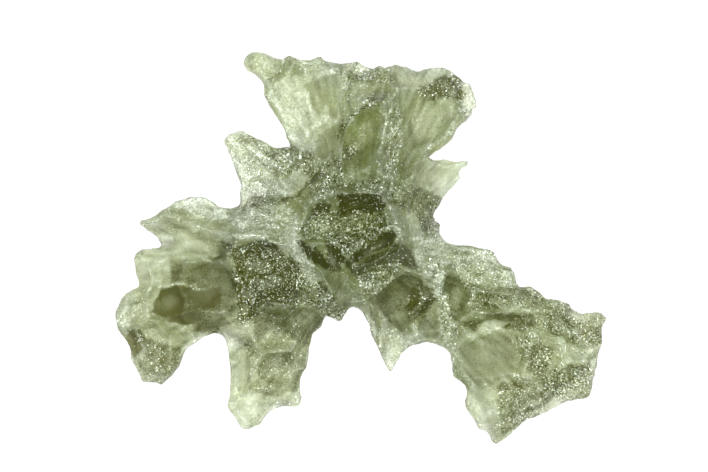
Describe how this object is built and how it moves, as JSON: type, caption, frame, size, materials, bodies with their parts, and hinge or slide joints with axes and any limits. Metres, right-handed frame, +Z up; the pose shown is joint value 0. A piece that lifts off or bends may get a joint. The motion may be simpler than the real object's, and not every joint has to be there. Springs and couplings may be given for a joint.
{
  "type": "moldavite",
  "caption": "Spiny natural moldavite, a see-through olive green glass splash with deeply etched pits, sharp ridges and branching spurs, lying on its back on a small flat spot.",
  "frame": {"origin": "centre of the box around the stone, on the surface that it lies on", "axes": "+Z up from the flat spot, +X along the longest width, +Y towards the broad crown"},
  "size_m": [0.036, 0.0288, 0.0111],
  "materials": {
    "moldavite_glass": "see-through olive green natural glass with a finely etched, glittering surface"
  },
  "bodies": {
    "root": {"moldavite": "moldavite_glass"}
  },
  "joints": []
}
